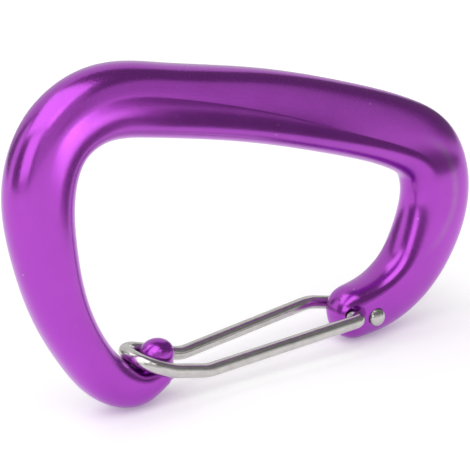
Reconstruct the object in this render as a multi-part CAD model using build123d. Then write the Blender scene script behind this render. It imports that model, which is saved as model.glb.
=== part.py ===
from build123d import *
import math
import os

# Wire-gate snap link in its own frame: the ring lies in the XZ plane, its thickness runs
# along Y, +Z is up with the spine on top. All sizes are in millimetres.

# --- Frame: one forged bar, described by stations along its centre line -------------------
# Each station is (x, z, half width in the ring plane, half thickness, crest offset).
# The crest is where the bar is thickest; a positive offset moves it to the ring's outside.
STATIONS = [
    (-14.3, 3.25, 2.40, 2.90, 0.0),   # nose
    (-17.4, 2.95, 2.85, 3.30, 0.0),
    (-21.3, 4.85, 3.25, 3.65, 0.0),
    (-24.8, 9.30, 3.40, 3.80, 0.1),
    (-28.0, 16.5, 3.80, 3.80, 0.4),   # big-end limb
    (-29.7, 25.0, 4.42, 3.80, 0.7),
    (-29.65, 33.5, 4.92, 3.80, 0.9),
    (-26.8, 39.5, 4.90, 3.80, 1.0),   # big-end corner
    (-21.0, 42.6, 5.10, 3.80, 1.0),
    (-12.0, 41.85, 4.98, 3.80, 1.0),
    (4.0, 38.3, 5.12, 3.80, 1.0),     # spine
    (19.0, 33.7, 5.22, 3.80, 0.8),
    (29.0, 29.8, 5.28, 3.80, 0.4),
    (34.7, 25.7, 5.45, 3.80, -0.1),   # hinge-end corner
    (36.4, 19.8, 5.60, 3.80, -0.6),
    (34.5, 13.1, 5.35, 3.80, -0.8),
    (30.6, 7.90, 4.70, 3.70, -0.5),
    (25.0, 4.95, 4.30, 3.50, -0.1),   # hinge tang
    (20.6, 4.30, 4.05, 3.40, 0.0),
]
SECTION_FULLNESS = 0.61       # handle length of a quarter section; 0.552 would be an ellipse
SECTIONS_PER_SPAN = 2         # loft sections from one station to the next
NOSE_CAP = 1.9                # length of the rounded end beyond the first station
TANG_CAP = 3.9                # length of the rounded end beyond the last station
CAP_STEPS = [0.35, 0.62, 0.82, 0.94, 0.99]

# --- Nose knob and the channel the gate's loop drops into --------------------------------
KNOB_X = -13.85
KNOB_RADIUS = 2.15
KNOB_TOP = 8.75
CHANNEL_CLEARANCE = 0.20

# --- Wire gate ----------------------------------------------------------------------------
WIRE_RADIUS = 1.0
LOOP_HALF_WIDTH = 3.30        # wire centre line to the ring's middle plane, at the nose
HINGE_HALF_WIDTH = 4.66       # the same beside the hinge tang
LOOP_END = (-18.0, 7.70)      # middle of the U-bend
NEAR_ELBOW = (-8.10, 3.50)
FAR_ELBOW = (-7.90, 4.00)
FAR_KNEE = (15.70, 5.50)      # far leg turns down here, on its way to its pin
NEAR_PIN = (18.35, 4.75)      # blind pin of the near leg
FAR_PIN = (22.30, 3.80)       # through pin of the far leg: the gate's pivot
NEAR_PIN_DEPTH = 2.6          # from the near leg's centre line
ELBOW_BEND = 6.0
KNEE_BEND = 7.0
PIN_BEND = 1.2
HEAD_RADIUS = 1.33
HEAD_HEIGHT = 0.75

# --- Hinge --------------------------------------------------------------------------------
BORE_CLEARANCE = 0.05         # radial, around the through pin
SLOT_CLEARANCE = 0.06         # radial, around the blind pin
OPEN_ANGLE = 32.0             # gate travel, degrees
TANG_FACE = 3.45              # half thickness where the through pin leaves the tang
HEAD_GAP = 0.05

# The origin is where a sling bears on the bar inside the big end.
ORIGIN_X = -24.7
ORIGIN_Z = 33.0


def bar_path():
    """Centre line of the bar from nose to hinge tang."""
    return Spline([(x, 0, z) for x, z, *_ in STATIONS])


def bar_section(centre, outward, half_width, half_thickness, crest):
    """Closed section of four curves that meet at the crests and the parting line."""
    up = Vector(0, 1, 0)
    k = SECTION_FULLNESS
    outer = half_width - crest
    inner = half_width + crest
    edges = []
    for n_len, sign, flip in ((outer, 1, 1), (inner, -1, 1), (inner, -1, -1), (outer, 1, -1)):
        edge_pt = centre + outward * (sign * half_width)
        crest_pt = centre + outward * crest + up * (flip * half_thickness)
        edge_handle = edge_pt + up * (flip * half_thickness * k)
        crest_handle = crest_pt + outward * (sign * n_len * k)
        points = [edge_pt, edge_handle, crest_handle, crest_pt]
        if (sign, flip) in ((-1, 1), (1, -1)):
            points.reverse()
        edges.append(Edge.make_bezier(*points))
    return Wire(edges)


def blend(values, span, t):
    """Smooth value between station number span and the next, at fraction t."""
    last = len(values) - 1
    a = values[max(span - 1, 0)]
    b = values[span]
    c = values[min(span + 1, last)]
    d = values[min(span + 2, last)]
    m0 = (c - a) / 2
    m1 = (d - b) / 2
    h00 = 2 * t**3 - 3 * t**2 + 1
    h10 = t**3 - 2 * t**2 + t
    h01 = -2 * t**3 + 3 * t**2
    h11 = t**3 - t**2
    return h00 * b + h10 * m0 + h01 * c + h11 * m1


def bar_solid():
    """The bar with its two rounded ends, lofted through all its sections."""
    path = bar_path()
    params = [path.param_at_point(Vector(x, 0, z)) for x, z, *_ in STATIONS]
    columns = [[s[i] for s in STATIONS] for i in (2, 3, 4)]
    wires = []

    def add(centre, tangent, sizes):
        outward = Vector(tangent.Z, 0, -tangent.X) * -1
        wires.append(bar_section(centre, outward, *sizes))

    def cap(param, direction, length, steps):
        centre = path.position_at(param)
        tangent = path.tangent_at(param)
        index = 0 if param < 0.5 else len(STATIONS) - 1
        w, h, c = (col[index] for col in columns)
        for t in steps:
            shrink = math.sqrt(1 - t**2)
            add(centre + tangent * (direction * length * t), tangent,
                (w * shrink, h * shrink**0.75, c * shrink))

    cap(params[0], -1, NOSE_CAP, CAP_STEPS[::-1])
    for span in range(len(STATIONS) - 1):
        for step in range(SECTIONS_PER_SPAN):
            t = step / SECTIONS_PER_SPAN
            param = params[span] + (params[span + 1] - params[span]) * t
            sizes = [blend(col, span, t) for col in columns]
            add(path.position_at(param), path.tangent_at(param), sizes)
    add(path.position_at(params[-1]), path.tangent_at(params[-1]), STATIONS[-1][2:])
    cap(params[-1], 1, TANG_CAP, CAP_STEPS)
    return Solid.make_loft(wires)


def gate_path():
    """Centre line of the gate's wire from the blind pin round the loop to the through pin."""
    a, h = LOOP_HALF_WIDTH, HINGE_HALF_WIDTH
    low_z = LOOP_END[1] - 0.20
    high_z = LOOP_END[1] + 0.20
    points = [
        (NEAR_PIN[0], NEAR_PIN_DEPTH - h, NEAR_PIN[1]),
        (NEAR_PIN[0], -h, NEAR_PIN[1]),
        (NEAR_ELBOW[0], -a, NEAR_ELBOW[1]),
        (LOOP_END[0], -a, low_z),
        (LOOP_END[0], a, high_z),
        (FAR_ELBOW[0], a, FAR_ELBOW[1]),
        (FAR_KNEE[0], h, FAR_KNEE[1]),
        (FAR_PIN[0], h, FAR_PIN[1]),
        (FAR_PIN[0], -TANG_FACE - HEAD_GAP - 0.2, FAR_PIN[1]),
    ]
    radii = [PIN_BEND, ELBOW_BEND, a * 0.97, a * 0.97, ELBOW_BEND, KNEE_BEND, PIN_BEND]
    return FilletPolyline(*points, radius=radii)


def tube(path, radius):
    """Round wire of the given radius along a path."""
    start = Plane(origin=path @ 0, z_dir=path % 0)
    return sweep(start * Circle(radius), path=path)


def gate_head():
    """Domed peened head on the end of the through pin."""
    base_y = -TANG_FACE - HEAD_GAP
    sphere_r = (HEAD_RADIUS**2 + HEAD_HEIGHT**2) / (2 * HEAD_HEIGHT)
    centre_y = base_y - HEAD_HEIGHT + sphere_r
    ball = Pos(FAR_PIN[0], centre_y, FAR_PIN[1]) * Sphere(sphere_r)
    slab = Pos(FAR_PIN[0], base_y - HEAD_HEIGHT, FAR_PIN[1]) * Box(4, 2 * HEAD_HEIGHT, 4)
    return ball & slab


def pin_along_y(x, z, radius, y_low, y_high):
    """Cylinder along Y between two heights."""
    place = Pos(x, (y_low + y_high) / 2, z) * Rot(90, 0, 0)
    return place * Cylinder(radius, y_high - y_low)


def swing(x, z, degrees):
    """Where a point at rest ends up when the gate has opened by an angle."""
    t = math.radians(degrees)
    dx, dz = x - FAR_PIN[0], z - FAR_PIN[1]
    return (FAR_PIN[0] + dx * math.cos(t) + dz * math.sin(t),
            FAR_PIN[1] - dx * math.sin(t) + dz * math.cos(t))


def slot_cutter():
    """Arc slot that lets the blind pin swing with the gate about the through pin."""
    radius = WIRE_RADIUS + SLOT_CLEARANCE
    low, high = -6.0, NEAR_PIN_DEPTH - HINGE_HALF_WIDTH + 0.25
    steps = 4
    shape = None
    for i in range(steps + 1):
        x, z = swing(*NEAR_PIN, OPEN_ANGLE * i / steps)
        piece = pin_along_y(x, z, radius, low, high)
        shape = piece if shape is None else shape + piece
    mid = swing(*NEAR_PIN, OPEN_ANGLE / 2)
    reach = math.dist(NEAR_PIN, swing(*NEAR_PIN, OPEN_ANGLE))
    tilt = 90 - OPEN_ANGLE / 2 - math.degrees(math.atan2(NEAR_PIN[1] - FAR_PIN[1],
                                                        FAR_PIN[0] - NEAR_PIN[0]))
    web = Pos(mid[0], (low + high) / 2, mid[1]) * Rot(0, -tilt, 0)
    return shape + web * Box(reach, high - low, 2 * radius - 0.1)


def main():
    os.makedirs("parts", exist_ok=True)
    wire = gate_path()
    gate = tube(wire, WIRE_RADIUS) + gate_head()
    bar = bar_solid()
    knob = Pos(KNOB_X, 0, KNOB_TOP - KNOB_RADIUS) * Sphere(KNOB_RADIUS)
    neck_height = KNOB_TOP - KNOB_RADIUS - 2.5
    neck = Pos(KNOB_X, 0, 2.5 + neck_height / 2) * Cylinder(KNOB_RADIUS * 0.92, neck_height)
    nose_only = Pos(-16, 0, 6) * Box(24, 12, 14)
    channel = tube(wire, WIRE_RADIUS + CHANNEL_CLEARANCE) & nose_only
    bore = pin_along_y(*FAR_PIN, WIRE_RADIUS + BORE_CLEARANCE, -8, 8)
    frame = bar + knob + neck - channel - bore - slot_cutter()
    shift = Pos(-ORIGIN_X, 0, -ORIGIN_Z)
    export_step(shift * frame, "parts/frame.step")
    export_step(shift * gate, "parts/wire_gate.step")
    print("frame", frame.volume, "gate", gate.volume, "wire length", wire.length)


main()
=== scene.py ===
"""Wire-gate snap link: a forged, anodised ring closed by a bent spring-wire gate.

The ring's bar is swept through its forged sections and rises at the nose into a round
knob. The gate is one length of steel wire: a U-bend that hooks behind the knob, and two
legs whose turned-in ends sit in the tang. Everything is in metres, in the CAD's frame.
"""

from __future__ import annotations

import logging
import math
from dataclasses import dataclass
from enum import Enum

import bpy
import numpy as np
from mathutils import Matrix, Quaternion, Vector

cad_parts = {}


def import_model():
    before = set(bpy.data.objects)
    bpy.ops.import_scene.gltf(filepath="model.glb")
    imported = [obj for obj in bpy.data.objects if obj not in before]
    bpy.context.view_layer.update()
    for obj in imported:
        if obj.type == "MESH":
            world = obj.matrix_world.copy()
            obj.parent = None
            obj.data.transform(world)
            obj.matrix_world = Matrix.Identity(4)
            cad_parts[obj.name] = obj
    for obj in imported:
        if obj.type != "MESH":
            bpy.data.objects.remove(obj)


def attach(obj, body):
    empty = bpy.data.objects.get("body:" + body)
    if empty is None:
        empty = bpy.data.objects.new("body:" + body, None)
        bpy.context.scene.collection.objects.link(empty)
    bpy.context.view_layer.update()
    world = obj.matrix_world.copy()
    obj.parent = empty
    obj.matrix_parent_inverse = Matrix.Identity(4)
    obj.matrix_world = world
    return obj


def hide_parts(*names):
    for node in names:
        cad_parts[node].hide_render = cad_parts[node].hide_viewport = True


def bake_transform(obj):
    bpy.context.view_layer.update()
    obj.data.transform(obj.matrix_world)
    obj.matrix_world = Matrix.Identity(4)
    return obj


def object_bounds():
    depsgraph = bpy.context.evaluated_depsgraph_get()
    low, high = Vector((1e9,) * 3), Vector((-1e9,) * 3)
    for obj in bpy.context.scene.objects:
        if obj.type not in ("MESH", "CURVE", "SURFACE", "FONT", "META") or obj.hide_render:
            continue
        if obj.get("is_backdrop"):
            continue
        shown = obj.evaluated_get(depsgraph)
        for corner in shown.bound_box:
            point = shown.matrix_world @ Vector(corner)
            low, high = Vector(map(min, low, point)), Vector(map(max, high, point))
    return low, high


LOG = logging.getLogger("snap_link")

MM = 0.001
ORIGIN_SHIFT = Vector((24.7, 0.0, -33.0))  # from the ring's drawing to the model's origin
MIX_A, MIX_B, MIX_COLOUR = 6, 7, 2  # a colour mix node's two inputs and its output
BUMP_DISTANCE = 0.00005


class Slot(Enum):
    """The material slots that the part's record names."""

    ANODISED = "anodised_aluminium"
    WIRE = "stainless_wire"


class Body(Enum):
    """The bodies that pieces ride on."""

    FRAME = "frame"
    GATE = "gate"


# --------------------------------------------------------------------------- modelling
def deselect_all() -> None:
    """Leave every object unselected, the CAD's own among them."""
    if bpy.context.mode != "OBJECT":
        bpy.ops.object.mode_set(mode="OBJECT")
    bpy.ops.object.select_all(action="DESELECT")


def make_active(piece: bpy.types.Object) -> None:
    """Select one object alone and make it the active one."""
    deselect_all()
    piece.select_set(True)
    bpy.context.view_layer.objects.active = piece


def swept_solid(name: str, loops: list[list[Vector]],
                drawn: list[float] | None = None, radius: float = 0.0) -> bpy.types.Object:
    """Extrude a filled circle loop by loop, then lay each loop on its own section.

    Args:
        name: Name of the new piece.
        loops: The sections in order, each a list of points in drawing millimetres.
        drawn: Length along the sweep at each loop, kept for finishes that follow it.
        radius: Radius of the stock, in millimetres, kept with that length.

    Returns:
        A closed mesh object at the origin, with its place in its mesh.
    """
    count = len(loops[0])
    deselect_all()
    bpy.ops.mesh.primitive_circle_add(vertices=count, radius=1.0, fill_type="NGON")
    piece = bpy.context.object
    piece.name = piece.data.name = name
    bpy.ops.object.mode_set(mode="EDIT")
    bpy.ops.mesh.select_all(action="SELECT")
    for _ in range(len(loops) - 1):
        bpy.ops.mesh.extrude_region_move(TRANSFORM_OT_translate={"value": (0.0, 0.0, 1.0)})
    bpy.ops.object.mode_set(mode="OBJECT")
    first = math.atan2(piece.data.vertices[0].co.y, piece.data.vertices[0].co.x)
    run = piece.data.attributes.new("drawn", "FLOAT_VECTOR", "POINT") if drawn else None
    for vertex in piece.data.vertices:
        turn = math.atan2(vertex.co.y, vertex.co.x) - first
        index = round(turn / math.tau * count) % count
        station = round(vertex.co.z)
        if run is not None:
            angle = math.tau * index / count
            run.data[vertex.index].vector = (
                math.cos(angle) * radius * MM, math.sin(angle) * radius * MM,
                drawn[station] * MM)
        vertex.co = (loops[station][index] + ORIGIN_SHIFT) * MM
    bpy.ops.object.mode_set(mode="EDIT")
    bpy.ops.mesh.select_all(action="SELECT")
    bpy.ops.mesh.normals_make_consistent(inside=False)
    bpy.ops.object.mode_set(mode="OBJECT")
    return piece


def combine(piece: bpy.types.Object, tool: bpy.types.Object, operation: str) -> None:
    """Join a tool solid to a piece, or cut it away, and remove the tool.

    Args:
        piece: The solid that is kept.
        tool: The solid that is used up.
        operation: UNION or DIFFERENCE.
    """
    make_active(piece)
    step = piece.modifiers.new("combine", "BOOLEAN")
    step.operation = operation
    step.solver = "EXACT"
    step.object = tool
    bpy.ops.object.modifier_apply(modifier=step.name)
    bpy.data.objects.remove(tool)


def circle_loop(centre: Vector, across: Vector, over: Vector, radius: float,
                count: int) -> list[Vector]:
    """Points of a circle that lies in the plane of two unit directions."""
    return [centre + across * (radius * math.cos(math.tau * i / count))
            + over * (radius * math.sin(math.tau * i / count)) for i in range(count)]


class SmoothTable:
    """Values given at knots, joined by natural cubic splines."""

    def __init__(self, knots: list[float], rows: list[tuple[float, ...]]) -> None:
        """Solve the splines.

        Args:
            knots: Rising parameters, one for each row.
            rows: The values at each knot, one column for each quantity.
        """
        self.knots = np.array(knots)
        self.rows = np.array(rows)
        count = len(knots)
        gaps = np.diff(self.knots)
        slopes = np.diff(self.rows, axis=0) / gaps[:, None]
        system = np.eye(count)
        right = np.zeros_like(self.rows)
        for i in range(1, count - 1):
            system[i, i - 1:i + 2] = gaps[i - 1], 2 * (gaps[i - 1] + gaps[i]), gaps[i]
            right[i] = 6 * (slopes[i] - slopes[i - 1])
        self.bends = np.linalg.solve(system, right)

    def at(self, knot: float) -> np.ndarray:
        """The values at any parameter, held at the first and last rows beyond the ends."""
        knot = float(np.clip(knot, self.knots[0], self.knots[-1]))
        i = int(np.clip(np.searchsorted(self.knots, knot) - 1, 0, len(self.knots) - 2))
        gap = self.knots[i + 1] - self.knots[i]
        a, b = (self.knots[i + 1] - knot) / gap, (knot - self.knots[i]) / gap
        return (a * self.rows[i] + b * self.rows[i + 1]
                + ((a**3 - a) * self.bends[i] + (b**3 - b) * self.bends[i + 1]) * gap**2 / 6)

    def direction(self, knot: float) -> np.ndarray:
        """The unit tangent in the first two columns."""
        step = 1e-3
        low = max(knot - step, self.knots[0])
        high = min(knot + step, self.knots[-1])
        run = (self.at(high) - self.at(low))[:2]
        return run / np.linalg.norm(run)


# ------------------------------------------------------------------------- ring frame
@dataclass
class RingFrame:
    """The forged ring: bar, knob, hinge tang and the seats for the wire."""

    # x, z, half width in the ring's plane, half thickness, crest offset, slope of the
    # outer face at the crest, and how far the outer and the inner face run flat
    stations: tuple[tuple[float, ...], ...] = (
        (-14.4, 3.92, 2.15, 3.35, -0.5, 0.00, 0.62, 0.74),
        (-17.4, 3.08, 2.76, 3.65, -0.8, 0.00, 0.66, 0.74),
        (-21.3, 4.85, 3.25, 3.78, -0.6, 0.00, 0.66, 0.66),
        (-24.8, 9.30, 3.40, 3.80, -0.2, 0.00, 0.64, 0.61),
        (-28.0, 16.5, 3.80, 3.80, 0.4, 0.00, 0.61, 0.61),
        (-29.7, 25.0, 4.42, 3.80, 0.7, 0.00, 0.61, 0.61),
        (-29.65, 33.5, 4.88, 3.80, 0.9, 0.00, 0.61, 0.66),
        (-26.8, 39.5, 4.90, 3.80, 1.0, 0.02, 0.61, 0.74),
        (-21.0, 42.6, 5.05, 3.80, 1.0, 0.05, 0.61, 0.70),
        (-12.0, 41.85, 4.98, 3.80, 0.9, 0.08, 0.64, 0.58),
        (4.0, 38.3, 5.12, 3.80, -0.35, 0.15, 0.70, 0.54),
        (19.0, 33.7, 5.22, 3.80, -1.4, 0.17, 0.70, 0.50),
        (29.0, 29.8, 5.28, 3.80, -1.7, 0.13, 0.70, 0.50),
        (34.7, 25.7, 5.45, 3.80, -1.9, 0.05, 0.72, 0.50),
        (36.4, 19.8, 5.60, 3.80, -2.2, 0.00, 0.76, 0.50),
        (34.5, 13.1, 5.35, 3.80, -2.6, 0.00, 0.78, 0.52),
        (30.6, 7.90, 4.70, 3.70, -2.6, 0.00, 0.78, 0.54),
        (25.0, 4.95, 4.30, 3.50, -2.2, 0.00, 0.76, 0.56),
        (20.6, 4.30, 4.05, 3.40, -1.5, 0.00, 0.74, 0.56),
    )
    fullness: float = 0.61
    nose_cap: float = 2.5
    tang_cap: float = 4.1
    cap_loops: int = 10
    cap_overrun: float = 0.35
    loop_gap: float = 0.7
    quarter_points: int = 15
    crest_support: float = 0.983
    knob_x: float = -13.72
    knob_radius: float = 2.22
    knob_stretch: float = 1.16
    knob_top: float = 8.75
    knob_root: float = 3.0
    knob_around: int = 48
    knob_rings: int = 22
    neck_share: float = 0.92
    neck_step: float = 0.8
    crown_share: float = 0.985
    seat_clearance: float = 0.04
    seat_end: float = -9.5
    hole_radius: float = 1.15
    rim_radius: float = 1.45
    rim_depth: float = 0.35
    rim_face: float = 2.95
    rim_overlap: float = 0.4
    rim_fit: float = 0.98
    hole_around: int = 40
    hole_reach: float = 8.0
    hole_lift: float = 0.18
    hole_floor: float = -2.0
    bore_clearance: float = 0.05
    sharp_angle: float = 38.0

    def section(self, centre: np.ndarray, tangent: np.ndarray,
                sizes: np.ndarray) -> list[Vector]:
        """One closed section of four soft quarters that meet at the crests.

        Args:
            centre: Its centre in the ring's plane.
            tangent: The bar's unit direction there.
            sizes: Half width, half thickness, crest offset, slope and the two flats.

        Returns:
            The section's points, from the outer edge round by the near face.
        """
        half, thick, crest, slope, outer_flat, inner_flat = sizes
        inner = np.array([tangent[1], -tangent[0]])
        steps = [i / self.quarter_points for i in range(self.quarter_points)]
        steps.append(self.crest_support)
        points: list[Vector] = []
        for sign, flip, back in ((1, -1, False), (-1, -1, True), (-1, 1, False), (1, 1, True)):
            reach = half - crest * sign
            hold = reach * (outer_flat if sign > 0 else inner_flat)
            drop = slope * hold if sign > 0 else 0.0
            handles = ((sign * half, 0.0), (sign * half, thick * self.fullness),
                       (crest + sign * hold, thick - drop), (crest, thick))
            for u in ([1 - s for s in [0.0, *[1 - v for v in steps[:0:-1]]]] if back else steps):
                weights = ((1 - u)**3, 3 * u * (1 - u)**2, 3 * u**2 * (1 - u), u**3)
                n = sum(w * p[0] for w, p in zip(weights, handles))
                y = sum(w * p[1] for w, p in zip(weights, handles))
                flat = centre - inner * n
                points.append(Vector((flat[0], flip * y, flat[1])))
        return points

    def bar(self) -> bpy.types.Object:
        """Sweep the bar from the nose to the tang, with both ends rounded."""
        places = [row[:2] for row in self.stations]
        knots = [0.0]
        for a, b in zip(places, places[1:]):
            knots.append(knots[-1] + math.dist(a, b))
        table = SmoothTable(knots, list(self.stations))
        loops: list[list[Vector]] = []

        def cap(knot: float, sign: int, length: float, spread: float,
                depth: float) -> list[list[Vector]]:
            """Sections that close in round one end, from the bar outwards."""
            rows = []
            for i in range(1, self.cap_loops + 1):
                angle = math.pi / 2 * i / (self.cap_loops + self.cap_overrun)
                t, shrink = math.sin(angle), math.cos(angle)
                row, way = table.at(knot), table.direction(knot)
                sizes = row[2:] * np.array([shrink**spread, shrink**depth, shrink, 1.0, 1.0, 1.0])
                rows.append(self.section(row[:2] + way * (sign * length * t), way, sizes))
            return rows

        loops += reversed(cap(knots[0], -1, self.nose_cap, 1.0, 1.0))
        count = round(knots[-1] / self.loop_gap)
        for i in range(count + 1):
            knot = knots[-1] * i / count
            row = table.at(knot)
            loops.append(self.section(row[:2], table.direction(knot), row[2:]))
        loops += cap(knots[-1], 1, self.tang_cap, 0.85, 0.75)
        return swept_solid("ring_frame", loops)

    def knob(self) -> bpy.types.Object:
        """The round knob that rises from the nose on a straight neck."""
        loops = []
        for height, radius in self.knob_profile():
            centre = Vector((self.knob_x, 0.0, height))
            loops.append(circle_loop(centre, Vector((self.knob_stretch, 0, 0)),
                                     Vector((0, 1, 0)), radius, self.knob_around))
        return swept_solid("knob", loops)

    def knob_profile(self) -> list[tuple[float, float]]:
        """Height and radius up the knob, from inside the bar to its crown."""
        ball, top = self.knob_radius, self.knob_top
        middle = top - ball
        neck = ball * self.neck_share
        rows = [(self.knob_root + self.neck_step * i, neck) for i in range(3)]
        low = -math.acos(self.neck_share)
        for i in range(self.knob_rings + 1):
            angle = low + (math.pi / 2 * self.crown_share - low) * i / self.knob_rings
            rows.append((middle + ball * math.sin(angle), ball * math.cos(angle)))
        return rows

    def pin_tool(self, x: float, z: float, radius: float, low: float,
                 high: float) -> bpy.types.Object:
        """A cylinder across the tang, to cut a round hole."""
        deselect_all()
        place = (Vector((x, (low + high) / 2, z)) + ORIGIN_SHIFT) * MM
        bpy.ops.mesh.primitive_cylinder_add(vertices=self.hole_around, radius=radius * MM,
                                            depth=(high - low) * MM, location=place,
                                            rotation=(math.pi / 2, 0.0, 0.0))
        bpy.ops.object.transform_apply(location=True, rotation=True, scale=True)
        return bpy.context.object

    def rim_tool(self, x: float, z: float) -> bpy.types.Object:
        """A cone that opens the near hole's rim."""
        deselect_all()
        face = -self.rim_face
        place = (Vector((x, face + self.rim_depth / 2 - self.rim_overlap, z)) + ORIGIN_SHIFT) * MM
        widen = (self.rim_radius - self.hole_radius) / self.rim_depth
        bpy.ops.mesh.primitive_cone_add(
            vertices=self.hole_around,
            radius1=(self.rim_radius + 2 * self.rim_overlap * widen) * MM,
            radius2=self.hole_radius * self.rim_fit * MM,
            depth=(self.rim_depth + 2 * self.rim_overlap) * MM,
            location=place, rotation=(-math.pi / 2, 0.0, 0.0))
        bpy.ops.object.transform_apply(location=True, rotation=True, scale=True)
        return bpy.context.object

    def build(self, gate: GateWire) -> bpy.types.Object:
        """Make the ring with its knob, the seat for the loop and the two pin holes.

        Args:
            gate: The wire that has to fit.

        Returns:
            The finished ring, without a material.
        """
        ring = self.bar()
        combine(ring, self.knob(), "UNION")
        path = [p for p in gate.centre_line() if p.x < self.seat_end]
        combine(ring, gate.tube("seat", gate.radius + self.seat_clearance, path), "DIFFERENCE")
        hole_x, hole_z = gate.near_pin
        combine(ring, self.pin_tool(hole_x, hole_z + self.hole_lift, self.hole_radius,
                                    -self.hole_reach, self.hole_floor), "DIFFERENCE")
        combine(ring, self.rim_tool(hole_x, hole_z + self.hole_lift), "DIFFERENCE")
        combine(ring, self.pin_tool(*gate.far_pin, gate.radius + self.bore_clearance,
                                    -self.hole_reach, self.hole_reach), "DIFFERENCE")
        make_active(ring)
        bpy.ops.object.shade_smooth_by_angle(angle=math.radians(self.sharp_angle))
        return ring


# -------------------------------------------------------------------------- gate wire
@dataclass
class GateWire:
    """The gate: one wire from the near pin, round the loop, to the far pin and its head."""

    radius: float = 1.0
    around: int = 24
    loop_half_width: float = 3.30
    hinge_half_width: float = 4.66
    loop_end: tuple[float, float] = (-18.0, 7.50)
    near_elbow: tuple[float, float] = (-7.70, 3.50)
    near_crook: tuple[float, float] = (-13.30, 5.00)
    far_elbow: tuple[float, float] = (-7.90, 4.00)
    far_knee: tuple[float, float] = (15.70, 5.50)
    near_pin: tuple[float, float] = (18.35, 4.75)
    far_pin: tuple[float, float] = (22.30, 3.80)
    loop_tilt: float = 0.2
    loop_round: float = 0.97
    near_depth: float = 2.6
    pin_bend: float = 1.2
    elbow_bend: float = 6.0
    crook_bend: float = 8.0
    knee_bend: float = 7.0
    tang_face: float = 3.45
    head_gap: float = 0.05
    head_radius: float = 1.33
    head_height: float = 0.75
    head_overlap: float = 0.2
    smooth_angle: float = 40.0
    straight_step: float = 1.0
    arc_step: float = 6.0
    # where the near leg starts and stops flexing, in metres in the model's frame
    flex_start: tuple[float, float, float] = (0.04305, -0.00466, -0.02825)
    flex_end: tuple[float, float, float] = (0.039973, -0.000045, -0.02825)

    def corners(self) -> tuple[list[Vector], list[float]]:
        """The corners of the wire's centre line, and the bend radius at each inner one."""
        a, h = self.loop_half_width, self.hinge_half_width
        x, z = self.loop_end
        points = [
            Vector((self.near_pin[0], self.near_depth - h, self.near_pin[1])),
            Vector((self.near_pin[0], -h, self.near_pin[1])),
            Vector((self.near_elbow[0], -a, self.near_elbow[1])),
            Vector((self.near_crook[0], -a, self.near_crook[1])),
            Vector((x, -a, z - self.loop_tilt)),
            Vector((x, a, z + self.loop_tilt)),
            Vector((self.far_elbow[0], a, self.far_elbow[1])),
            Vector((self.far_knee[0], h, self.far_knee[1])),
            Vector((self.far_pin[0], h, self.far_pin[1])),
            Vector((self.far_pin[0], -self.tang_face - self.head_gap - self.head_overlap,
                    self.far_pin[1])),
        ]
        loop = a * self.loop_round
        return points, [self.pin_bend, self.elbow_bend, self.crook_bend, loop, loop,
                        self.elbow_bend, self.knee_bend, self.pin_bend]

    def centre_line(self) -> list[Vector]:
        """Points along the centre line, with each corner rounded to its bend."""
        corners, bends = self.corners()
        path = [corners[0]]

        def straight(end: Vector) -> None:
            """Run on in even steps to a point."""
            start = path[-1]
            steps = max(1, round((end - start).length / self.straight_step))
            path.extend(start.lerp(end, i / steps) for i in range(1, steps + 1))

        for before, corner, after, bend in zip(corners, corners[1:], corners[2:], bends):
            first, second = (corner - before).normalized(), (after - corner).normalized()
            turn = first.angle(second)
            trim = bend * math.tan(turn / 2)
            straight(corner - first * trim)
            axis = first.cross(second).normalized()
            centre = corner - first * trim + axis.cross(first) * bend
            arm = path[-1] - centre
            steps = max(2, math.ceil(math.degrees(turn) / self.arc_step))
            path.extend(centre + Matrix.Rotation(turn * i / steps, 3, axis) @ arm
                        for i in range(1, steps + 1))
        straight(corners[-1])
        return path

    def tube(self, name: str, radius: float, path: list[Vector]) -> bpy.types.Object:
        """Sweep a round section along a path without letting it twist.

        Args:
            name: Name of the piece.
            radius: The section's radius.
            path: The centre line's points.

        Returns:
            The closed tube, with its length along the path kept for its finish.
        """
        across = Vector((0.0, 0.0, 1.0))
        loops, drawn, run = [], [], 0.0
        for i, point in enumerate(path):
            way = (path[min(i + 1, len(path) - 1)] - path[max(i - 1, 0)]).normalized()
            across = (across - way * across.dot(way)).normalized()
            run += (point - path[i - 1]).length if i else 0.0
            loops.append(circle_loop(point, across, way.cross(across), radius, self.around))
            drawn.append(run)
        return swept_solid(name, loops, drawn, radius)

    def head(self) -> bpy.types.Object:
        """The peened dome on the end of the far pin."""
        base = -self.tang_face - self.head_gap
        ball = (self.head_radius**2 + self.head_height**2) / (2 * self.head_height)
        centre = Vector((self.far_pin[0], base - self.head_height + ball, self.far_pin[1]))
        deselect_all()
        bpy.ops.mesh.primitive_uv_sphere_add(
            segments=36, ring_count=72, radius=ball * MM,
            location=(centre + ORIGIN_SHIFT) * MM, rotation=(math.pi / 2, 0.0, 0.0))
        dome = bpy.context.object
        dome.name = dome.data.name = "pin_head"
        bpy.ops.object.transform_apply(location=True, rotation=True, scale=True)
        bpy.ops.object.mode_set(mode="EDIT")
        bpy.ops.mesh.select_all(action="SELECT")
        bpy.ops.mesh.bisect(plane_co=(0.0, base * MM, 0.0), plane_no=(0.0, 1.0, 0.0),
                            use_fill=True, clear_outer=True)
        bpy.ops.object.mode_set(mode="OBJECT")
        return dome

    def build(self) -> bpy.types.Object:
        """Make the wire with its head as one piece."""
        wire = self.tube("gate_wire", self.radius, self.centre_line())
        dome = self.head()
        make_active(wire)
        dome.select_set(True)
        bpy.ops.object.join()
        bpy.ops.object.shade_smooth_by_angle(angle=math.radians(self.smooth_angle))
        return wire


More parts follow.
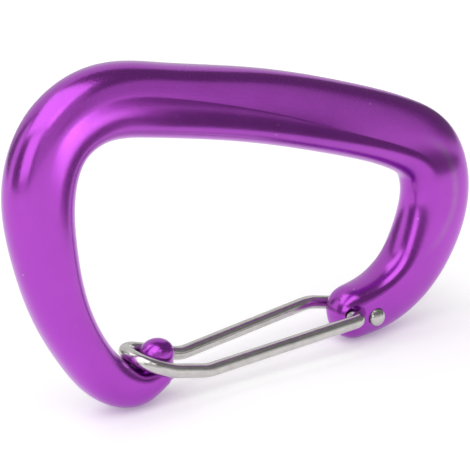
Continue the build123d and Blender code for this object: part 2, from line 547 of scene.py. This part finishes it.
# ----------------------------------------------------------------------------- finishes
class Sheet:
    """A node tree with short ways to add and join its nodes."""

    def __init__(self, tree: bpy.types.NodeTree) -> None:
        """Keep the tree."""
        self.tree = tree

    def add(self, kind: str, settings: dict | None = None, **inputs: object) -> bpy.types.Node:
        """Add a node, set its options and set or link its inputs.

        Args:
            kind: The node's type name.
            settings: Its own options by name.
            **inputs: Values or output sockets by input name, with _ for a space.

        Returns:
            The new node.
        """
        node = self.tree.nodes.new(kind)
        for key, value in (settings or {}).items():
            setattr(node, key, value)
        for key, value in inputs.items():
            name = int(key[1:]) if key[0] == "i" and key[1:].isdigit() else key.replace("_", " ")
            if isinstance(value, bpy.types.NodeSocket):
                self.tree.links.new(value, node.inputs[name])
            else:
                node.inputs[name].default_value = value
        return node


def node_group(name: str, takes: dict[str, tuple[str, object]],
               gives: dict[str, str]) -> tuple[bpy.types.NodeTree, Sheet, bpy.types.Node]:
    """Start a shader node group with named sockets.

    Args:
        name: The group's name.
        takes: Socket type and default for each input.
        gives: Socket type for each output.

    Returns:
        The group, a sheet to fill it with, and its input node.
    """
    group = bpy.data.node_groups.new(name, "ShaderNodeTree")
    for label, (kind, value) in takes.items():
        socket = group.interface.new_socket(label, in_out="INPUT", socket_type=kind)
        if value is not None:
            socket.default_value = value
    for label, kind in gives.items():
        group.interface.new_socket(label, in_out="OUTPUT", socket_type=kind)
    sheet = Sheet(group)
    return group, sheet, sheet.add("NodeGroupInput")


def grain_group() -> bpy.types.NodeTree:
    """Fine cloudy grain, spread between a low and a high value."""
    group, sheet, given = node_group(
        "fine_grain",
        {"Vector": ("NodeSocketVector", None), "Scale": ("NodeSocketFloat", 1000.0),
         "Low": ("NodeSocketFloat", 0.0), "High": ("NodeSocketFloat", 1.0)},
        {"Value": "NodeSocketFloat"})
    noise = sheet.add("ShaderNodeTexNoise", {}, Vector=given.outputs["Vector"],
                      Scale=given.outputs["Scale"], Detail=3.0, Roughness=0.6)
    spread = sheet.add("ShaderNodeMapRange", {}, Value=noise.outputs["Fac"],
                       From_Min=0.3, From_Max=0.7, To_Min=given.outputs["Low"],
                       To_Max=given.outputs["High"])
    sheet.add("NodeGroupOutput", {}, Value=spread.outputs["Result"])
    return group


def dust_group() -> bpy.types.NodeTree:
    """Scattered specks: a mask that is one on a few small dots and zero elsewhere."""
    group, sheet, given = node_group(
        "dust_specks",
        {"Vector": ("NodeSocketVector", None), "Scale": ("NodeSocketFloat", 400.0),
         "Size": ("NodeSocketFloat", 0.1), "Share": ("NodeSocketFloat", 0.05)},
        {"Mask": "NodeSocketFloat"})
    cells = sheet.add("ShaderNodeTexVoronoi", {}, Vector=given.outputs["Vector"],
                      Scale=given.outputs["Scale"])
    near = sheet.add("ShaderNodeMath", {"operation": "LESS_THAN"},
                     i0=cells.outputs["Distance"], i1=given.outputs["Size"])
    parts = sheet.add("ShaderNodeSeparateColor", {}, Color=cells.outputs["Color"])
    few = sheet.add("ShaderNodeMath", {"operation": "LESS_THAN"},
                    i0=parts.outputs["Red"], i1=given.outputs["Share"])
    both = sheet.add("ShaderNodeMath", {"operation": "MULTIPLY"},
                     i0=near.outputs["Value"], i1=few.outputs["Value"])
    sheet.add("NodeGroupOutput", {}, Mask=both.outputs["Value"])
    return group


def painted_sheen_group() -> bpy.types.NodeTree:
    """Painted sheen: a mask strongest along part of a ring on the near face."""
    group, sheet, given = node_group(
        "painted_sheen_arc",
        {"Vector": ("NodeSocketVector", None), "Centre": ("NodeSocketVector", None),
         "Radius": ("NodeSocketFloat", 0.01), "Width": ("NodeSocketFloat", 0.001),
         "Start": ("NodeSocketFloat", 0.0), "Breakup": ("NodeSocketFloat", 1.0)},
        {"Mask": "NodeSocketFloat"})
    offset = sheet.add("ShaderNodeVectorMath", {"operation": "SUBTRACT"},
                       i0=given.outputs["Vector"], i1=given.outputs["Centre"])
    flat = sheet.add("ShaderNodeVectorMath", {"operation": "MULTIPLY"},
                     i0=offset.outputs["Vector"], i1=(1.0, 0.0, 1.0))
    reach = sheet.add("ShaderNodeVectorMath", {"operation": "LENGTH"},
                      i0=flat.outputs["Vector"])
    error = sheet.add("ShaderNodeMath", {"operation": "SUBTRACT"},
                      i0=reach.outputs["Value"], i1=given.outputs["Radius"])
    gap = sheet.add("ShaderNodeMath", {"operation": "ABSOLUTE"}, i0=error.outputs["Value"])
    band = sheet.add("ShaderNodeMapRange", {"interpolation_type": "SMOOTHSTEP"},
                     Value=gap.outputs["Value"], From_Max=given.outputs["Width"],
                     To_Min=1.0, To_Max=0.0)
    parts = sheet.add("ShaderNodeSeparateXYZ", {}, Vector=offset.outputs["Vector"])
    side = sheet.add("ShaderNodeMapRange", {"interpolation_type": "SMOOTHSTEP"},
                     Value=parts.outputs["X"], From_Min=given.outputs["Start"],
                     From_Max=given.outputs["Radius"])
    # the painted sheen is kept to the near face only
    near = sheet.add("ShaderNodeMath", {"operation": "LESS_THAN"},
                     i0=parts.outputs["Y"], i1=0.0)
    arc = sheet.add("ShaderNodeMath", {"operation": "MULTIPLY"},
                    i0=band.outputs["Result"], i1=side.outputs["Result"])
    faced = sheet.add("ShaderNodeMath", {"operation": "MULTIPLY"},
                      i0=arc.outputs["Value"], i1=near.outputs["Value"])
    mask = sheet.add("ShaderNodeMath", {"operation": "MULTIPLY"},
                     i0=faced.outputs["Value"], i1=given.outputs["Breakup"])
    sheet.add("NodeGroupOutput", {}, Mask=mask.outputs["Value"])
    return group


@dataclass(frozen=True)
class AnodisedFinish:
    """Dyed, sealed anodising over polished aluminium, with a painted sheen streak."""

    colour: tuple[float, float, float, float] = (0.42, 0.060, 0.54, 1.0)
    deep: tuple[float, float, float, float] = (0.385, 0.052, 0.50, 1.0)
    dust: tuple[float, float, float, float] = (0.58, 0.34, 0.66, 1.0)
    speck_scale: float = 900.0
    speck_size: float = 0.10
    speck_share: float = 0.03
    smooth: float = 0.19
    rough: float = 0.28
    grain_scale: float = 5000.0
    cloud_scale: float = 130.0
    breakup_scale: float = 780.0
    breakup_low: float = 0.45
    coat: float = 0.35
    # painted sheen: a greyer lilac streak that stands in for the coat's reflection of a light
    sheen_colour: tuple[float, float, float, float] = (0.38, 0.135, 0.46, 1.0)
    coat_roughness: float = 0.16
    bump: float = 0.09
    # where the painted sheen lies: an arc on the near face of the limb above the tang
    sheen_centre: tuple[float, float, float] = (0.0525, 0.0, -0.0125)
    sheen_radius: float = 0.0094
    sheen_width: float = 0.0011
    sheen_start: float = 0.002

    def material(self, grain: bpy.types.NodeTree, dust: bpy.types.NodeTree,
                 sheen_tree: bpy.types.NodeTree) -> bpy.types.Material:
        """Build the material from the shared groups."""
        material = bpy.data.materials.new("anodised_aluminium_finish")
        material.use_nodes = True
        material.node_tree.nodes.clear()
        sheet = Sheet(material.node_tree)
        place = sheet.add("ShaderNodeTexCoord").outputs["Object"]
        clouds = sheet.add("ShaderNodeGroup", {"node_tree": grain}, Vector=place,
                           Scale=self.cloud_scale)
        tint = sheet.add("ShaderNodeMix", {"data_type": "RGBA"}, Factor=clouds.outputs["Value"])
        tint.inputs[MIX_A].default_value = self.deep
        tint.inputs[MIX_B].default_value = self.colour
        breakup = sheet.add("ShaderNodeGroup", {"node_tree": grain}, Vector=place,
                            Scale=self.breakup_scale, Low=self.breakup_low, High=1.0)
        # painted sheen: the colour turns greyer along an arc, standing in for a light's
        # reflection
        sheen_mask = sheet.add("ShaderNodeGroup", {"node_tree": sheen_tree}, Vector=place,
                           Centre=self.sheen_centre, Radius=self.sheen_radius,
                           Width=self.sheen_width, Start=self.sheen_start,
                           Breakup=breakup.outputs["Value"])
        sheened = sheet.add("ShaderNodeMix", {"data_type": "RGBA"}, Factor=sheen_mask.outputs["Mask"])
        material.node_tree.links.new(tint.outputs[MIX_COLOUR], sheened.inputs[MIX_A])
        sheened.inputs[MIX_B].default_value = self.sheen_colour
        specks = sheet.add("ShaderNodeGroup", {"node_tree": dust}, Vector=place,
                           Scale=self.speck_scale, Size=self.speck_size,
                           Share=self.speck_share)
        dusty = sheet.add("ShaderNodeMix", {"data_type": "RGBA"}, Factor=specks.outputs["Mask"])
        material.node_tree.links.new(sheened.outputs[MIX_COLOUR], dusty.inputs[MIX_A])
        dusty.inputs[MIX_B].default_value = self.dust
        gloss = sheet.add("ShaderNodeGroup", {"node_tree": grain}, Vector=place,
                          Scale=self.grain_scale, Low=self.smooth, High=self.rough)
        fine = sheet.add("ShaderNodeGroup", {"node_tree": grain}, Vector=place,
                         Scale=self.grain_scale * 0.8)
        bump = sheet.add("ShaderNodeBump", {}, Height=fine.outputs["Value"],
                         Strength=self.bump, Distance=BUMP_DISTANCE)
        skin = sheet.add("ShaderNodeBsdfPrincipled", {}, Base_Color=dusty.outputs[MIX_COLOUR],
                         Roughness=gloss.outputs["Value"], Metallic=1.0,
                         Coat_Weight=self.coat, Coat_Roughness=self.coat_roughness,
                         Normal=bump.outputs["Normal"])
        sheet.add("ShaderNodeOutputMaterial", {}, Surface=skin.outputs["BSDF"])
        return material


@dataclass(frozen=True)
class WireFinish:
    """Bright spring wire with fine drawing lines along its length."""

    bright: tuple[float, float, float, float] = (0.62, 0.605, 0.585, 1.0)
    dull: tuple[float, float, float, float] = (0.44, 0.425, 0.41, 1.0)
    smooth: float = 0.14
    rough: float = 0.26
    line_scale: float = 5000.0
    stretch: float = 0.03
    patch_scale: float = 900.0
    bump: float = 0.06

    def material(self, grain: bpy.types.NodeTree) -> bpy.types.Material:
        """Build the material from the shared group."""
        material = bpy.data.materials.new("stainless_wire_finish")
        material.use_nodes = True
        material.node_tree.nodes.clear()
        sheet = Sheet(material.node_tree)
        drawn = sheet.add("ShaderNodeAttribute", {"attribute_name": "drawn"}).outputs["Vector"]
        place = sheet.add("ShaderNodeTexCoord").outputs["Object"]
        along = sheet.add("ShaderNodeMapping", {}, Vector=drawn, Scale=(1.0, 1.0, self.stretch))
        lines = sheet.add("ShaderNodeGroup", {"node_tree": grain}, Vector=along.outputs["Vector"],
                          Scale=self.line_scale)
        patches = sheet.add("ShaderNodeGroup", {"node_tree": grain}, Vector=place,
                            Scale=self.patch_scale)
        mixed = sheet.add("ShaderNodeMath", {"operation": "MULTIPLY"},
                          i0=lines.outputs["Value"], i1=patches.outputs["Value"])
        tint = sheet.add("ShaderNodeMix", {"data_type": "RGBA"}, Factor=mixed.outputs["Value"])
        tint.inputs[MIX_A].default_value = self.bright
        tint.inputs[MIX_B].default_value = self.dull
        gloss = sheet.add("ShaderNodeGroup", {"node_tree": grain}, Vector=along.outputs["Vector"],
                          Scale=self.line_scale * 0.6, Low=self.smooth, High=self.rough)
        bump = sheet.add("ShaderNodeBump", {}, Height=lines.outputs["Value"],
                         Strength=self.bump, Distance=BUMP_DISTANCE)
        steel = sheet.add("ShaderNodeBsdfPrincipled", {}, Base_Color=tint.outputs[MIX_COLOUR],
                          Roughness=gloss.outputs["Value"], Metallic=1.0,
                          Normal=bump.outputs["Normal"])
        sheet.add("ShaderNodeOutputMaterial", {}, Surface=steel.outputs["BSDF"])
        return material


# ------------------------------------------------------------------------------- studio
@dataclass(frozen=True)
class Softbox:
    """A rectangular light, placed by the direction in which the part sees it."""

    name: str
    azimuth: float
    elevation: float
    width: float
    height: float
    radiance: float
    distance: float = 1.3
    aim: tuple[float, float, float] | None = None
    roll: float = 0.0

    def place(self, target: Vector) -> None:
        """Add the light, facing the target or its own aim."""
        target = Vector(self.aim) if self.aim else target
        turn, lift = math.radians(self.azimuth), math.radians(self.elevation)
        way = Vector((math.sin(turn) * math.cos(lift), math.cos(turn) * math.cos(lift),
                      math.sin(lift)))
        data = bpy.data.lights.new(self.name, "AREA")
        data.shape = "RECTANGLE"
        data.size = 2 * self.distance * math.tan(math.radians(self.width / 2))
        data.size_y = 2 * self.distance * math.tan(math.radians(self.height / 2))
        data.energy = self.radiance * math.pi * data.size * data.size_y
        light = bpy.data.objects.new(self.name, data)
        light.location = target + way * self.distance
        spin = Quaternion((0.0, 0.0, 1.0), math.radians(self.roll))
        light.rotation_euler = (way.to_track_quat("Z", "Y") @ spin).to_euler()
        light.visible_camera = False
        bpy.context.scene.collection.objects.link(light)


@dataclass
class Studio:
    """Floor, soft lights, dark cards and the camera."""

    target: Vector
    floor_height: float
    floor_size: float = 8.0
    room: float = 0.22
    lights: tuple[Softbox, ...] = (
        Softbox("key_overhead", -110.0, 66.0, 76.0, 50.0, 1.75),
        Softbox("left_panel", -114.0, 22.0, 40.0, 34.0, 1.6),
        Softbox("back_strip", -50.0, 18.0, 22.0, 40.0, 0.95),
        Softbox("back_panel", 20.0, 34.0, 80.0, 62.0, 0.60),
        Softbox("front_fill", 147.0, 14.0, 44.0, 30.0, 0.45),
        Softbox("corner_lamp", 147.1, -18.8, 31.0, 12.0, 2.25, 0.0313,
                (-0.0010, -0.0038, 0.0075), -45.0),
        Softbox("camera_side", -166.0, 20.0, 44.0, 64.0, 0.5),
    )
    card_shade: tuple[float, float, float] = (0.20, 0.20, 0.20)
    cards: tuple[tuple[tuple[float, float, float], tuple[float, float, float]], ...] = (
        ((0.019, -0.039, -0.0122), (0.096, -0.010, -0.0120)),
        ((0.0275, -0.0455, -0.0120), (0.080, -0.0450, 0.0030)),
    )
    camera_at: Vector = Vector((-0.10649, -0.192279, 0.065467))
    camera_right: Vector = Vector((0.81828, -0.57358, -0.03771))
    camera_back: Vector = Vector((-0.53448, -0.78336, 0.31731))
    lens: float = 136.36
    paper: float = 0.92
    paper_glow: float = 0.22

    def floor(self) -> bpy.types.Object:
        """The pale floor that the part stands on."""
        deselect_all()
        bpy.ops.mesh.primitive_plane_add(
            size=self.floor_size, location=(self.target.x, self.target.y, self.floor_height))
        floor = bpy.context.object
        floor.name = "floor"
        material = bpy.data.materials.new("pale_floor")
        material.use_nodes = True
        paper = material.node_tree.nodes["Principled BSDF"]
        paper.inputs["Base Color"].default_value = (*[self.paper] * 3, 1.0)
        paper.inputs["Roughness"].default_value = 0.9
        paper.inputs["Specular IOR Level"].default_value = 0.1
        paper.inputs["Emission Color"].default_value = (1.0, 1.0, 1.0, 1.0)
        paper.inputs["Emission Strength"].default_value = self.paper_glow
        floor.data.materials.append(material)
        floor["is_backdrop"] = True
        return floor

    def place_cards(self) -> None:
        """Dark cards in front of the ring, seen only in its reflections."""
        material = bpy.data.materials.new("dark_card")
        material.use_nodes = True
        cloth = material.node_tree.nodes["Principled BSDF"]
        cloth.inputs["Base Color"].default_value = (*self.card_shade, 1.0)
        cloth.inputs["Roughness"].default_value = 0.9
        for index, (low, high) in enumerate(self.cards):
            deselect_all()
            bpy.ops.mesh.primitive_cube_add(size=1.0)
            card = bpy.context.object
            card.name = f"dark_card_{index}"
            card.scale = [h - l for l, h in zip(low, high)]
            card.location = [(h + l) / 2 for l, h in zip(low, high)]
            card.data.materials.append(material)
            card.visible_camera = card.visible_shadow = card.visible_diffuse = False
            card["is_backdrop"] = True

    def world(self) -> None:
        """The dim even light of the room."""
        scene = bpy.context.scene
        if scene.world is None:
            scene.world = bpy.data.worlds.new("room")
        scene.world.use_nodes = True
        room = scene.world.node_tree.nodes["Background"]
        room.inputs["Color"].default_value = (1.0, 1.0, 1.0, 1.0)
        room.inputs["Strength"].default_value = self.room
        scene.view_settings.view_transform = "Standard"

    def camera(self) -> None:
        """A long lens, a little above the part and to the left of its near face."""
        data = bpy.data.cameras.new("camera")
        data.lens = self.lens
        data.sensor_width = 36.0
        data.clip_start = 0.005
        camera = bpy.data.objects.new("camera", data)
        right, back = self.camera_right.normalized(), self.camera_back.normalized()
        turn = Matrix((right, back.cross(right), back)).transposed()
        camera.matrix_world = Matrix.Translation(self.camera_at) @ turn.to_4x4()
        bpy.context.scene.collection.objects.link(camera)
        bpy.context.scene.camera = camera

    def build(self) -> None:
        """Set up the whole studio."""
        self.world()
        self.floor()
        self.place_cards()
        for light in self.lights:
            light.place(self.target)
        self.camera()


def main() -> None:
    """Build the part's pieces in order, dress them, and light them."""
    logging.basicConfig(level=logging.INFO, format="%(name)s: %(message)s")
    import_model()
    cad_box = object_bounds()
    grain = grain_group()
    anodised = AnodisedFinish().material(grain, dust_group(), painted_sheen_group())
    steel = WireFinish().material(grain)

    wire_maker = GateWire()
    ring = RingFrame().build(wire_maker)
    ring.data.materials.append(anodised)
    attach(ring, Body.FRAME.value)
    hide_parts("frame")
    LOG.info("ring frame: %d faces", len(ring.data.polygons))

    wire = wire_maker.build()
    wire.data.materials.append(steel)
    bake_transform(wire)
    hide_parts("wire_gate")
    LOG.info("gate wire: %d faces", len(wire.data.polygons))

    low, high = Vector(cad_box[0]), Vector(cad_box[1])
    Studio(target=(low + high) / 2, floor_height=low.z).build()


if __name__ == "__main__":
    main()
